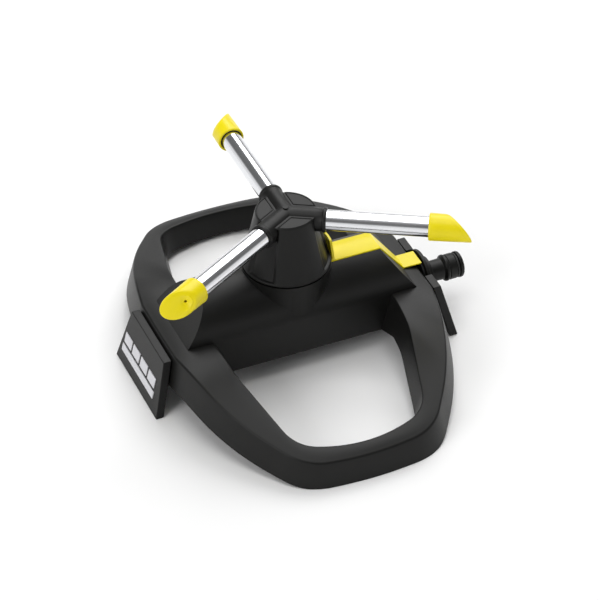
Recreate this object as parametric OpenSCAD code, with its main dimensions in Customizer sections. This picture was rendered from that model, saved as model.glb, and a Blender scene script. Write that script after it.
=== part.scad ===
// Three-arm rotating lawn sprinkler on an arched ring base.
// Frame: origin at the middle of the footprint at floor level, +X toward the hose connector,
// +Z up, millimetres. The sizes below are measured from the rotor axis.

/* [Base frame] */
// Half length of the base along the hose axis, at floor level
base_half_x = 95.6; // [80:0.2:120]
// Half width of the base across the hose axis, at floor level
base_half_y = 136; // [110:1:170]
// Height of the middle deck above the floor
deck_z = 40.5; // [34:0.5:50]
// Height of the underside of the deck walls above the floor
skirt_z = 20; // [14:0.5:26]
// Drop of the ring top per millimetre outward from the deck
top_fall = 0.288; // [0.2:0.002:0.3]
// Outward lean of the moulded walls, millimetres per millimetre of height
draft = 0.25; // [0.05:0.01:0.3]
// Wall thickness of the base frame
frame_wall = 2.8; // [2:0.1:4]

/* [Bar housing] */
// Radius of the half-round roof over the water channel
roof_r = 26.2; // [22:0.1:30]
// Wall thickness of the housing
housing_wall = 2.6; // [2:0.1:4]
// Height of the lower edge of the housing sides
housing_low_z = 14; // [12:0.5:18]
// Inward lean of the end faces, millimetres per millimetre of height
end_slope = 0.757; // [0.4:0.01:0.9]
// Radius of the seat under the rotor
seat_r = 27.7; // [25:0.1:30]
// Height of the seat under the rotor
seat_z = 66; // [62:0.5:72]

/* [End plates] */
// Height of the top edge of the end plates
plate_top_z = 36.4; // [32:0.2:40]
// Half width of an end plate at its top edge
plate_top_half = 27.2; // [22:0.2:32]
// Half width of an end plate at the floor
plate_low_half = 34.4; // [26:0.2:38]
// Thickness of an end plate
plate_t = 5.2; // [3:0.1:7]
// Stand-off between an end plate and the base wall
plate_gap = 0.9; // [0.5:0.1:2]

/* [Hose connector] */
// Height of the hose connector axis above the floor
hose_z = 26.4; // [24:0.2:29]
// Largest radius of the push-on connector
hose_r = 8.5; // [8:0.05:9]
// Reach of the connector tip past the half length of the base
hose_reach = 23.2; // [20:0.2:30]

/* [Rotor] */
// Height of the spray tube axes above the floor
arm_z = 99.8; // [95:0.2:110]
// Resting angle of the first arm
arm_angle = -30; // [-60:1:0]
// Outer radius of a spray tube
tube_r = 6.4; // [5:0.05:7.5]
// Wall thickness of a spray tube
tube_wall = 1; // [0.6:0.1:1.5]
// Distance from the rotor axis to the outer end of a sleeve
sleeve_end = 24.9; // [23:0.1:28]
// Distance from the rotor axis to the rim of a nozzle cap
cap_start = 87; // [70:0.5:110]
// Radius of a nozzle cap at its rim
cap_r = 8.5; // [7.8:0.05:9.5]
// Length of a nozzle cap to the middle of its slanted face
cap_mid = 19; // [16:0.5:24]
// Angle of the slanted face from square
cap_cut = 45; // [30:1:50]
// Turn of the slanted face about the tube, from straight up
cap_roll = 57; // [0:1:90]
// Radius of the hub at its top edge
hub_top_r = 18.8; // [17:0.1:22]
// Radius of the hub at its lower edge
hub_low_r = 27.4; // [25:0.1:28]
// Half angle covered by one raised hub panel
panel_half = 40; // [30:1:46]

/* [Bearing] */
// Radius of the spindle journal
journal_r = 6; // [5:0.05:7]
// Radial clearance of the rotor bush on the spindle
bush_gap = 0.05; // [0.02:0.01:0.1]
// Radius of the spindle barrel
barrel_r = 8; // [7:0.1:9]
// Height of the spindle shoulder
shoulder_z = 72; // [70:0.5:75]

/* [Hidden] */
$fn = 96;
black = [0.13, 0.13, 0.13];
yellow = [0.93, 0.86, 0.10];
steel = [0.80, 0.80, 0.82];
rubber = [0.06, 0.06, 0.06];
white = [0.92, 0.92, 0.92];
bend_y = 47;
bend_r = 14;
bottom_fall = skirt_z / (0.95 * base_half_y - bend_y);
rib_y = 9.5;
rib_t = 2;
tub_half = roof_r - housing_wall - 0.1;
roof_z = deck_z - 2;
roof_end = base_half_x - 19.4;
ridge_end = roof_end - end_slope * (roof_z + roof_r - deck_z);
open_half = base_half_x * 0.515;
collar_x = base_half_x - 6.6;
hose_tip_x = base_half_x + hose_reach;
plate_out = base_half_x + plate_gap + plate_t;
mid_x = (hose_tip_x - plate_out) / 2;
rotor_gap = 0.6;
arms = [arm_angle, arm_angle + 120, arm_angle + 240];
hub_top = arm_z + 5.2;
sleeve_r = tube_r + 0.9;
bush_low = shoulder_z + 1.8;
hub_neck_top = arm_z - 7.8;
spindle_top = arm_z - 4.8;
elbow_top = hose_z + 12;
pipe_r = 7.4;
cover_t = 2.6;
lean = atan(draft);
plate_screw_y = 20;
plate_screw_z = 27;
screw_seat = (frame_wall + 0.4) * cos(lean);
screw_reach = 4.2;
collar_r = 16.4;
trim_t = 0.8;
trim_half = 8.7;
tab_half = 6.5;
tongue_h = 11;
tongue_half = 5.2;
bush_r = journal_r + 2.6;
clip_z = spindle_top - 3;
seal_z = clip_z - 6;
hub_base = seat_z + rotor_gap;
bore_len = 10;
cover_y = (rib_y + tub_half - 1) / 2;
cover_points = [[40, cover_y], [-40, cover_y], [40, -cover_y], [-40, -cover_y]];
badge_y = 2;
oring_r = 0.33;
recess_r = tube_r + 0.75;

// Moves a piece so that the middle of the whole footprint is at the origin.
module placed() {
  translate([-mid_x, 0, 0])
    children();
}

// Directions and rounded outlines.
function unit(v) = v / norm(v);
function bend_at(a, p, b) = 180 - acos(unit(a - p) * unit(b - p));
function turn(d) = d > 180 ? d - 360 : (d < -180 ? d + 360 : d);
function fillet(a, p, b, r, n) =
  let (u = unit(a - p))
  let (v = unit(b - p))
  let (half = acos(u * v) / 2)
  let (c = p + unit(u + v) * r / sin(half))
  let (s = p + u * r / tan(half) - c)
  let (e = p + v * r / tan(half) - c)
  let (a0 = atan2(s[1], s[0]))
  let (span = turn(atan2(e[1], e[0]) - a0))
  [for (i = [0:n]) c + r * [cos(a0 + span * i / n), sin(a0 + span * i / n)]];
function rounded(pts, rad, n) =
  let (m = len(pts))
  [for (i = [0:m - 1]) each fillet(pts[(i + m - 1) % m], pts[i], pts[(i + 1) % m], rad[i], n)];
function inset(pts, d) =
  let (m = len(pts))
  [for (i = [0:m - 1])
    let (u = unit(pts[(i + m - 1) % m] - pts[i]))
    let (v = unit(pts[(i + 1) % m] - pts[i]))
    pts[i] + unit(u + v) * d / sin(acos(u * v) / 2)];

function skirt_half(z) = open_half + draft * z - 0.15;

// Corner points of the base at floor level, one quarter mirrored round.
quarter = [
  [base_half_x, 28.5],
  [0.912 * base_half_x, 0.567 * base_half_y],
  [0.46 * base_half_x, 0.968 * base_half_y]
];
ring_pts = [
  quarter[0], quarter[1], quarter[2], [0, 1.002 * base_half_y],
  [-quarter[2][0], quarter[2][1]], [-quarter[1][0], quarter[1][1]],
  [-quarter[0][0], quarter[0][1]], -quarter[0], -quarter[1], -quarter[2],
  [0, -1.002 * base_half_y], [quarter[2][0], -quarter[2][1]],
  [quarter[1][0], -quarter[1][1]], [quarter[0][0], -quarter[0][1]]
];
side_r = 0.9 * norm(quarter[1] - quarter[0]) / tan(bend_at(quarter[0], quarter[1], quarter[2]) / 2);
half_rad = [20, side_r, 40, 217, 40, side_r, 20];
ring_rad = concat(half_rad, half_rad);

module ring_outline(z, d) {
  polygon(rounded(inset(ring_pts, draft * z + d), [for (r = ring_rad) r - draft * z - d + 1], 6));
}

// One opening, on the -Y side, seen from above at height z and grown by g.
module opening_outline(z, g) {
  d = draft * z + g;
  far = 0.893 * base_half_y + d;
  side = 0.406 * base_half_y;
  a = open_half + d;
  b = 0.97 * open_half + d;
  c = 0.764 * open_half + d;
  rise = 0.34 * c;
  front_r = 2.2 * c;
  polygon(rounded([
    [a, -tub_half], [b, -side], [c, rise - far],
    [0, -far], [-c, rise - far], [-b, -side], [-a, -tub_half]
  ], [0.5, 60, 16.4, front_r, 16.4, 60, 0.5], 5));
}

module ring_block(d) {
  hull() {
    translate([0, 0, -1]) linear_extrude(0.01) ring_outline(-1, d);
    translate([0, 0, 46]) linear_extrude(0.01) ring_outline(46, d);
  }
}

module opening_block(side, g) {
  rotate([0, 0, side * 180])
    hull() {
      translate([0, 0, -2]) linear_extrude(0.01) opening_outline(-2, g);
      translate([0, 0, 48]) linear_extrude(0.01) opening_outline(48, g);
    }
}

// Side profile of the arched slab, drawn in Y and Z.
arch_y = concat([0], [for (i = [0:8]) bend_y + bend_r * (i / 4 - 1)], [0.95 * base_half_y, base_half_y + 8]);
function soft(y) = abs(y - bend_y) < bend_r ? pow(y - bend_y + bend_r, 2) / (4 * bend_r) : max(0, y - bend_y);
function arch_top(y) = deck_z - top_fall * soft(y);
function arch_low(y) = max(0, skirt_z - bottom_fall * soft(y));

module arch_slab(drop, cut) {
  rotate([90, 0, 90])
    translate([0, 0, -base_half_x - 10])
      linear_extrude(2 * base_half_x + 20)
        polygon(concat(
          [for (y = arch_y) [y, arch_top(y) - drop]],
          [for (i = [len(arch_y) - 1:-1:0]) [arch_y[i], arch_low(arch_y[i]) - cut]],
          [for (i = [1:len(arch_y) - 1]) [-arch_y[i], arch_low(arch_y[i]) - cut]],
          [for (i = [len(arch_y) - 1:-1:1]) [-arch_y[i], arch_top(arch_y[i]) - drop]]
        ));
}

// Moulded ring with the middle deck, open underneath and stiffened by ribs.
module base_frame() {
  color(black) placed()
    difference() {
      union() {
        intersection() {
          arch_slab(0, 0);
          ring_block(0);
        }
        translate([base_half_x - 12, 0, hose_z])
          rotate([0, 90, 0])
            cylinder(h = collar_x - base_half_x + 12, r = 13.9);
      }
      opening_block(0, 0);
      opening_block(1, 0);
      difference() {
        intersection() {
          arch_slab(frame_wall, 1);
          ring_block(frame_wall + 0.4);
        }
        for (s = [0, 1])
          opening_block(s, frame_wall);
        for (s = [-1, 1])
          translate([-base_half_x, s * rib_y - rib_t / 2, 0])
            cube([2 * base_half_x, rib_t, 60]);
        for (s = [-1, 1])
          for (y = [0:4])
            translate([-base_half_x, s * (tub_half - 1 + y * 22) - rib_t / 2, 0])
              cube([2 * base_half_x, rib_t, 60]);
        for (s = [-1, 1])
          translate([s * 15 - rib_t / 2, -base_half_y, 0])
            cube([rib_t, 2 * base_half_y, 60]);
        for (s = [-1, 1])
          translate([s * (base_half_x - 18.6) - rib_t / 2, -tub_half, 0])
            cube([rib_t, 2 * tub_half, 60]);
      }
      // Way down the middle for the spindle and the feed elbow.
      translate([0, 0, 10])
        cylinder(h = 40, r = 15.7);
      // Channel for the feed pipe, and the hole for the hose connector.
      translate([0, 0, hose_z])
        rotate([0, 90, 0])
          cylinder(h = base_half_x + 10, r = pipe_r + 0.1);
      translate([-1, -pipe_r - 0.1, 10])
        cube([base_half_x - 12, 2 * pipe_r + 0.2, hose_z - 10]);
      // Flat seat for the collar and its gasket.
      translate([collar_x, 0, hose_z])
        rotate([0, 90, 0])
          cylinder(h = 12, r = collar_r + 0.3);
      // Screw holes for the end plates, with room for the screw heads.
      for (s = [-1, 1])
        on_wall(s) {
          translate([0, 0, -8])
            cylinder(h = 16, r = 1.6);
          translate([0, 0, -screw_seat - 12])
            cylinder(h = 12, r = 3.4);
        }
    }
}

// Places its children at both plate screws, with Z along the outward normal of the wall.
module on_wall(side) {
  for (y = [-plate_screw_y, plate_screw_y])
    translate([side * (base_half_x - draft * plate_screw_z), y, plate_screw_z])
      rotate([0, side * (90 - lean), 0])
        children();
}

// Half-round roof with slanted ends and the conical seat under the rotor.
module roof_solid(t) {
  intersection() {
    translate([-base_half_x, 0, roof_z])
      rotate([0, 90, 0])
        cylinder(h = 2 * base_half_x, r = roof_r - t);
    rotate([90, 0, 0])
      translate([0, 0, -40])
        linear_extrude(80)
          polygon([
            [-roof_end + 1.25 * t, deck_z - (t > 0 ? 1 : 0)],
            [roof_end - 1.25 * t, deck_z - (t > 0 ? 1 : 0)],
            [roof_end - 1.25 * t - 32 * end_slope, deck_z + 32],
            [-roof_end + 1.25 * t + 32 * end_slope, deck_z + 32]
          ]);
  }
}

module bar_housing() {
  color(black) placed()
    difference() {
      union() {
        roof_solid(0);
        translate([0, 0, deck_z])
          cylinder(h = seat_z - deck_z, r1 = seat_r - 2.1, r2 = seat_r);
        for (s = [-1, 1])
          translate([0, s * (roof_r - housing_wall / 2) + housing_wall / 2, 0])
            rotate([90, 0, 0])
              linear_extrude(housing_wall)
                polygon([
                  [-skirt_half(housing_low_z), housing_low_z], [skirt_half(housing_low_z), housing_low_z],
                  [skirt_half(deck_z), deck_z], [-skirt_half(deck_z), deck_z]
                ]);
      }
      difference() {
        union() {
          roof_solid(housing_wall);
          translate([0, 0, deck_z - 1])
            cylinder(h = seat_z - deck_z - 2.6, r1 = seat_r - 5, r2 = seat_r - 3);
        }
        for (s = [-1, 1])
          translate([-roof_end, s * rib_y - rib_t / 2, deck_z])
            cube([2 * roof_end, rib_t, 40]);
        for (x = [-32, 32])
          translate([x - rib_t / 2, -roof_r, deck_z])
            cube([rib_t, 2 * roof_r, 40]);
        translate([0, 0, deck_z])
          cylinder(h = 40, r = barrel_r + 3);
      }
      translate([0, 0, deck_z - 1])
        cylinder(h = 40, r = barrel_r + 0.05);
      translate([0, 0, deck_z - 1])
        cylinder(h = elbow_top + 1 - deck_z + 1.2, r = 12.2);
    }
}

// Plate that closes the underside of the housing.
module underside_cover() {
  color(black) placed()
    difference() {
      translate([-skirt_half(housing_low_z) + 0.4, -tub_half, housing_low_z + 1])
        cube([2 * skirt_half(housing_low_z) - 0.8, 2 * tub_half, cover_t]);
      for (p = cover_points)
        translate([p[0], p[1], housing_low_z - 1])
          cylinder(h = 10, r = 1.7);
    }
}

module cover_screws() {
  color(steel) placed()
    for (p = cover_points)
      translate([p[0], p[1], 0]) {
        translate([0, 0, housing_low_z - 0.8])
          cylinder(h = 1.8, r = 3.2);
        translate([0, 0, housing_low_z + 1])
          cylinder(h = cover_t + 7, r = 1.6);
      }
}

// Slab parallel to the leaning base wall, d further out than the wall, t thick.
module wall_slab(side, d, t, z0, z1, half0, half1) {
  intersection() {
    translate([0, -60, 0])
      rotate([-90, 0, 0])
        linear_extrude(120)
          polygon([
            [side * (base_half_x - draft * z0 + d), -z0],
            [side * (base_half_x - draft * z1 + d), -z1],
            [side * (base_half_x - draft * z1 + d + t), -z1],
            [side * (base_half_x - draft * z0 + d + t), -z0]
          ]);
    rotate([90, 0, 90])
      translate([0, 0, -150])
        linear_extrude(300)
          polygon([[-half0, z0], [half0, z0], [half1, z1], [-half1, z1]]);
  }
}

module end_plate(side) {
  difference() {
    union() {
      wall_slab(side, plate_gap, plate_t, 0, plate_top_z, plate_low_half, plate_top_half);
      wall_slab(side, 0, plate_gap, skirt_z + 1, plate_top_z - 1, plate_top_half - 1.6, plate_top_half - 1.6);
    }
    on_wall(side)
      translate([0, 0, -8])
        cylinder(h = 8 + screw_reach, r = 1.6);
  }
}

module end_plate_left() {
  color(black) placed()
    end_plate(-1);
}

module end_plate_right() {
  color(black) placed()
    difference() {
      end_plate(1);
      translate([base_half_x - 20, 0, hose_z])
        rotate([0, 90, 0])
          cylinder(h = 40, r = collar_r + 0.6);
    }
}

module plate_screws() {
  color(steel) placed()
    for (s = [-1, 1])
      on_wall(s) {
        translate([0, 0, -screw_seat - 1.6])
          cylinder(h = 1.6, r = 3);
        translate([0, 0, -screw_seat])
          cylinder(h = screw_seat + screw_reach, r = 1.6);
      }
}

// Plain raised marks on the outer face of the left end plate: one bar and four blocks.
module badge() {
  color(white) placed()
    translate([0, badge_y, 0]) {
      wall_slab(-1, plate_gap + plate_t, 0.5, 8.3, 12.9, 26, 26);
      for (i = [0:3])
        translate([0, (i - 1.5) * 13, 0])
          wall_slab(-1, plate_gap + plate_t, 0.5, 15, 21.5, 5.4, 5.4);
    }
}

// Inlaid band along the ridge, down the slanted end and out to the connector.
module trim_strip() {
  color(yellow) placed() {
    difference() {
      intersection() {
        difference() {
          translate([-base_half_x, 0, roof_z])
            rotate([0, 90, 0])
              cylinder(h = 2 * base_half_x, r = roof_r + trim_t);
          translate([-base_half_x - 1, 0, roof_z])
            rotate([0, 90, 0])
              cylinder(h = 2 * base_half_x + 2, r = roof_r);
        }
        translate([seat_r - 3, -trim_half, deck_z])
          cube([ridge_end - seat_r + 3 + end_slope * 0.8, 2 * trim_half, 60]);
        trim_end_cut();
      }
      pedestal_clear();
    }
    // Band on the slanted end.
    intersection() {
      rotate([90, 0, 0])
        translate([0, 0, -40])
          linear_extrude(80)
            polygon([
              [roof_end, deck_z],
              [roof_end + trim_t * 1.25, deck_z],
              [roof_end + trim_t * 1.25 - end_slope * 26, deck_z + 26],
              [roof_end - end_slope * 26, deck_z + 26]
            ]);
      translate([0, 0, deck_z])
        rotate([90, 0, 90])
          linear_extrude(200)
            polygon([
              [-tab_half, 0], [tab_half, 0], [trim_half, 22.3],
              [trim_half, 30], [-trim_half, 30], [-trim_half, 22.3]
            ]);
      translate([-base_half_x, 0, roof_z])
        rotate([0, 90, 0])
          cylinder(h = 2 * base_half_x, r = roof_r + trim_t);
    }
    // Tab on the deck.
    translate([roof_end, -tab_half, deck_z])
      cube([collar_x - 0.1 - roof_end, 2 * tab_half, trim_t]);
    // Upright tongue behind the rotor.
    intersection() {
      difference() {
        translate([0, 0, seat_z - 8])
          cylinder(h = tongue_h + 8, r = seat_r + 2.6);
        translate([0, 0, seat_z - 9])
          cylinder(h = tongue_h + 10, r = seat_r + 0.6);
      }
      rotate([90, 0, 90])
        linear_extrude(60)
          polygon([
            [-trim_half, roof_z + roof_r - 2.5], [trim_half, roof_z + roof_r - 2.5],
            [tongue_half, seat_z + tongue_h], [-tongue_half, seat_z + tongue_h]
          ]);
      difference() {
        translate([0, -20, deck_z])
          cube([60, 40, 60]);
        translate([-base_half_x - 1, 0, roof_z])
          rotate([0, 90, 0])
            cylinder(h = 2 * base_half_x + 2, r = roof_r);
      }
    }
  }
}

module trim_end_cut() {
  rotate([90, 0, 0])
    translate([0, 0, -40])
      linear_extrude(80)
        polygon([
          [0, deck_z], [roof_end + trim_t * 1.25, deck_z],
          [roof_end + trim_t * 1.25 - end_slope * 30, deck_z + 30], [0, deck_z + 30]
        ]);
}

module pedestal_clear() {
  translate([0, 0, deck_z])
    cylinder(h = seat_z - deck_z, r1 = seat_r - 2.1, r2 = seat_r);
}

// Water way: pipe from the connector to the elbow under the spindle.
module feed_pipe() {
  color(black) placed()
    translate([9, 0, hose_z])
      rotate([0, 90, 0])
        difference() {
          cylinder(h = base_half_x - 21, r = pipe_r);
          translate([0, 0, -1])
            cylinder(h = base_half_x, r = pipe_r - 2);
        }
}

module feed_elbow() {
  color(black) placed()
    difference() {
      union() {
        translate([0, 0, hose_z - 8.6])
          cylinder(h = elbow_top - hose_z + 8.6, r = 11.6);
        translate([0, 0, hose_z])
          rotate([0, 90, 0])
            cylinder(h = 12.6, r = 8.4);
      }
      translate([0, 0, hose_z])
        rotate([0, 90, 0])
          cylinder(h = 30, r = pipe_r - 2);
      translate([9, 0, hose_z])
        rotate([0, 90, 0])
          cylinder(h = 30, r = pipe_r);
      translate([0, 0, hose_z])
        cylinder(h = 30, r = 4);
      translate([0, 0, hose_z + 4])
        cylinder(h = 30, r = barrel_r);
      translate([0, 0, elbow_top - 3])
        cylinder(h = 10, r = barrel_r + 2);
    }
}

module elbow_seal() {
  color(rubber) placed()
    translate([0, 0, elbow_top - 2])
      rotate_extrude()
        translate([barrel_r + 1, 0])
          circle(r = 1);
}

module inlet_gasket() {
  color(rubber) placed()
    translate([collar_x, 0, hose_z])
      rotate([0, 90, 0])
        difference() {
          cylinder(h = 1, r = 13);
          translate([0, 0, -1])
            cylinder(h = 3, r = 8.2);
        }
}

// Stepped flange that clamps the connector to the base wall.
module inlet_collar() {
  color(black) placed()
    translate([collar_x, 0, hose_z])
      rotate([0, 90, 0])
        difference() {
          union() {
            translate([0, 0, 1])
              cylinder(h = 2.2, r = collar_r);
            translate([0, 0, 3.2])
              cylinder(h = 1, r = collar_r - 3);
            translate([0, 0, 4.2])
              cylinder(h = 3, r = collar_r - 5.6);
          }
          translate([0, 0, -1])
            cylinder(h = 12, r = 6.4);
          translate([0, 0, -1])
            cylinder(h = 4.2, r = 9.4);
        }
}

// Push-on hose connector, lathe profile from the wall outward.
module hose_nipple() {
  neck = hose_r - 2.2;
  barrel = hose_r - 0.4;
  color(black) placed()
    translate([0, 0, hose_z])
      rotate([0, 90, 0])
        rotate_extrude()
          polygon([
            [5, base_half_x - 20], [pipe_r - 2, base_half_x - 20], [pipe_r - 2, base_half_x - 12],
            [pipe_r, base_half_x - 12], [pipe_r, collar_x + 1], [9.2, collar_x + 1], [9.2, collar_x + 3],
            [neck, collar_x + 3], [neck, hose_tip_x - 13.2], [hose_r - 0.5, hose_tip_x - 11.9],
            [hose_r, hose_tip_x - 11.2], [hose_r, hose_tip_x - 9.6], [barrel, hose_tip_x - 9],
            [barrel, hose_tip_x - 4.8], [neck - 0.1, hose_tip_x - 4.8],
            [neck - 0.1, hose_tip_x - 2.6], [barrel, hose_tip_x - 2.6],
            [barrel, hose_tip_x - 0.9], [barrel - 0.9, hose_tip_x], [5, hose_tip_x]
          ]);
}

module nipple_oring() {
  color(rubber) placed()
    translate([hose_tip_x - 3.7, 0, hose_z])
      rotate([0, 90, 0])
        rotate_extrude()
          translate([hose_r - 1.38, 0])
            circle(r = 0.92);
}

// Fixed hollow spindle.
module spindle() {
  color(steel) placed()
    rotate_extrude()
      polygon([
        [4, hose_z + 4], [barrel_r, hose_z + 4], [barrel_r, shoulder_z], [journal_r, shoulder_z],
        [journal_r, seal_z], [journal_r - 1, seal_z], [journal_r - 1, seal_z + 1.6],
        [journal_r, seal_z + 1.6], [journal_r, clip_z], [journal_r - 0.8, clip_z],
        [journal_r - 0.8, clip_z + 1.2], [journal_r, clip_z + 1.2], [journal_r, spindle_top],
        [4, spindle_top]
      ]);
}

module spindle_seal() {
  color(rubber) placed()
    translate([0, 0, seal_z + 0.1])
      difference() {
        cylinder(h = 1.4, r = journal_r);
        translate([0, 0, -1])
          cylinder(h = 4, r = journal_r - 1);
      }
}

module thrust_washer() {
  color(white) placed()
    translate([0, 0, shoulder_z])
      difference() {
        cylinder(h = 1.5, r = barrel_r);
        translate([0, 0, -1])
          cylinder(h = 4, r = journal_r + 0.05);
      }
}

module retaining_clip() {
  color(steel) placed()
    translate([0, 0, clip_z])
      difference() {
        cylinder(h = 1.2, r = journal_r + 1.6);
        translate([0, 0, -1])
          cylinder(h = 4, r = journal_r - 0.8);
        translate([-1.6, 0, -1])
          cube([3.2, 12, 4]);
      }
}

module rotor_bush() {
  color(white) placed()
    difference() {
      union() {
        translate([0, 0, bush_low])
          cylinder(h = 2, r = journal_r + 4.4);
        translate([0, 0, bush_low + 2])
          cylinder(h = clip_z - 0.4 - bush_low - 2, r = bush_r);
      }
      translate([0, 0, bush_low - 1])
        cylinder(h = 40, r = journal_r + bush_gap);
    }
}

// Sleeve-shaped space along each arm, from the axis outward.
module arm_bores(r, from, to) {
  for (a = arms)
    rotate([0, 0, a])
      translate([from, 0, arm_z])
        rotate([0, 90, 0])
          cylinder(h = to - from, r = r);
}

// One sector of a ring-shaped space around an arm direction.
module arm_sector(a, half) {
  rotate([0, 0, a])
    linear_extrude(200)
      polygon([[0, 0], [60, -60 * tan(half)], [60, 60 * tan(half)]]);
}

// Conical hub with three raised panels between the arms.
module hub_shell() {
  color(black) placed()
    difference() {
      union() {
        translate([0, 0, hub_base])
          cylinder(h = hub_top - hub_base, r1 = hub_low_r - 3.4, r2 = hub_top_r - 2.6);
        translate([0, 0, hub_base])
          cylinder(h = 1.8, r = hub_low_r);
        translate([0, 0, hub_top - 1.2])
          cylinder(h = 1.2, r = hub_top_r);
        difference() {
          translate([0, 0, hub_base])
            cylinder(h = hub_top - hub_base, r1 = hub_low_r, r2 = hub_top_r);
          for (a = arms)
            arm_sector(a, 60 - panel_half);
        }
      }
      difference() {
        translate([0, 0, hub_base - 1])
          cylinder(h = hub_neck_top - hub_base + 1, r1 = hub_low_r - 5.6, r2 = hub_top_r - 5.2);
        translate([0, 0, bush_low + 2])
          cylinder(h = 60, r = bush_r + 2.6);
        for (i = [0:5])
          rotate([0, 0, arm_angle + i * 60])
            translate([0, -0.8, bush_low + 2])
              cube([40, 1.6, 60]);
      }
      translate([0, 0, hub_base - 2])
        cylinder(h = 60, r = bush_r);
      translate([0, 0, bush_low - 20])
        cylinder(h = 22, r = journal_r + 4.4);
      translate([0, 0, hub_neck_top])
        cylinder(h = 30, r = 10.4);
      arm_bores(sleeve_r, 0, 60);
    }
}

// Three-way manifold: round body with one sleeve per tube.
module arm_manifold() {
  color(black) placed()
    difference() {
      union() {
        translate([0, 0, hub_neck_top])
          cylinder(h = arm_z - hub_neck_top + 5, r = 10.4);
        arm_bores(sleeve_r, 0, sleeve_end);
      }
      translate([0, 0, hub_neck_top - 1])
        cylinder(h = arm_z - hub_neck_top + 1, r = bush_r - 0.2);
      arm_bores(tube_r - tube_wall, 0, 40);
      arm_bores(tube_r, 12, 40);
      translate([0, 0, arm_z + sleeve_r - 1.6])
        cylinder(h = 5, r = 1.2);
      for (a = arms)
        rotate([0, 0, a])
          translate([7.8, 1.4, arm_z + sleeve_r - 1.4])
            cylinder(h = 5, r = 0.6);
    }
}

module centre_plug() {
  color(black) placed() {
    translate([0, 0, arm_z + sleeve_r - 1.6])
      cylinder(h = 1.6, r = 1.2);
    translate([0, 0, arm_z + sleeve_r])
      cylinder(h = 0.7, r = 1.9);
  }
}

module tube(a) {
  color(steel) placed()
    rotate([0, 0, a])
      translate([12, 0, arm_z])
        rotate([0, 90, 0])
          difference() {
            cylinder(h = cap_start + bore_len - 0.5 - 12, r = tube_r);
            translate([0, 0, -1])
              cylinder(h = 200, r = tube_r - tube_wall);
          }
}

module tube_a() {
  tube(arms[0]);
}

module tube_b() {
  tube(arms[1]);
}

module tube_c() {
  tube(arms[2]);
}

// Nozzle cap with a slanted face and one jet hole.
module nozzle_cap(a) {
  color(yellow) placed()
    rotate([0, 0, a])
      translate([cap_start, 0, arm_z])
        rotate([-cap_roll, 0, 0])
          difference() {
            rotate([0, 90, 0])
              cylinder(h = cap_mid + 12, r1 = cap_r, r2 = cap_r - 0.5);
            // Slanted face.
            translate([cap_mid, 0, 0])
              rotate([0, -cap_cut, 0])
                translate([0, -30, -40])
                  cube([40, 60, 80]);
            rotate([0, 90, 0])
              translate([0, 0, -1])
                cylinder(h = bore_len + 1, r = tube_r + 0.05);
            rotate([0, 90, 0])
              translate([0, 0, -1])
                cylinder(h = 2.4, r = recess_r);
            // Jet hole and its shallow dish.
            translate([cap_mid - 4, 0, 4])
              rotate([0, 90 - cap_cut, 0]) {
                translate([0, 0, -7])
                  cylinder(h = 12, r = 0.8);
                translate([0, 0, -0.4])
                  cylinder(h = 1, r1 = 1.6, r2 = 3.1);
              }
          }
}

module nozzle_cap_a() {
  nozzle_cap(arms[0]);
}

module nozzle_cap_b() {
  nozzle_cap(arms[1]);
}

module nozzle_cap_c() {
  nozzle_cap(arms[2]);
}

module cap_oring(a) {
  color(rubber) placed()
    rotate([0, 0, a])
      translate([cap_start + 0.8, 0, arm_z])
        rotate([0, 90, 0])
          rotate_extrude()
            translate([tube_r + oring_r + 0.02, 0])
              circle(r = oring_r);
}

module cap_oring_a() {
  cap_oring(arms[0]);
}

module cap_oring_b() {
  cap_oring(arms[1]);
}

module cap_oring_c() {
  cap_oring(arms[2]);
}

base_frame();
bar_housing();
underside_cover();
cover_screws();
end_plate_left();
end_plate_right();
plate_screws();
badge();
trim_strip();
feed_pipe();
feed_elbow();
elbow_seal();
inlet_collar();
inlet_gasket();
hose_nipple();
nipple_oring();
spindle();
spindle_seal();
thrust_washer();
retaining_clip();
rotor_bush();
hub_shell();
arm_manifold();
centre_plug();
tube_a();
tube_b();
tube_c();
nozzle_cap_a();
nozzle_cap_b();
nozzle_cap_c();
cap_oring_a();
cap_oring_b();
cap_oring_c();
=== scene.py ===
"""Looks of a three-arm rotating lawn sprinkler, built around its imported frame."""

import math

import bmesh
import bpy
from bpy.props import FloatProperty, FloatVectorProperty, PointerProperty
from mathutils import Matrix, Vector


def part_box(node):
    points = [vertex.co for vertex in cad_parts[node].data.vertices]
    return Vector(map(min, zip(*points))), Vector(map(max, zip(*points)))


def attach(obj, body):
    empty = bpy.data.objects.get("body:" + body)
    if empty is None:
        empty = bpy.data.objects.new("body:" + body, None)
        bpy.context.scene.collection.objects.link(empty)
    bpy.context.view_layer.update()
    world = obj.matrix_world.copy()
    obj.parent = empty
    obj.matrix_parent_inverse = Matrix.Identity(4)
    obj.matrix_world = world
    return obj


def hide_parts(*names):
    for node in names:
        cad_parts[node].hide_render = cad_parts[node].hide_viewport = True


bl_info = {
    "name": "Rotating Lawn Sprinkler",
    "version": (1, 0, 0),
    "blender": (4, 5, 0),
    "location": "View3D > Sidebar > Sprinkler",
    "description": "Builds a three-arm lawn sprinkler piece by piece around its frame",
    "category": "Object",
}

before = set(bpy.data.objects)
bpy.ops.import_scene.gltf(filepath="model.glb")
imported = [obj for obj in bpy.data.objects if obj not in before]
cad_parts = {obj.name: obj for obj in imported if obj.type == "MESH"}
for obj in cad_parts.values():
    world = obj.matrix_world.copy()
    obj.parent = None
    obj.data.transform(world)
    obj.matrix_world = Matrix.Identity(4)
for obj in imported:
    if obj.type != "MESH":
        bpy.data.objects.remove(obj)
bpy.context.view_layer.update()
MM = 0.001


def middle(node):
    """Middle of a frame node's box, in millimetres."""
    low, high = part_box(node)
    return (low + high) / (2 * MM)


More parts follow.
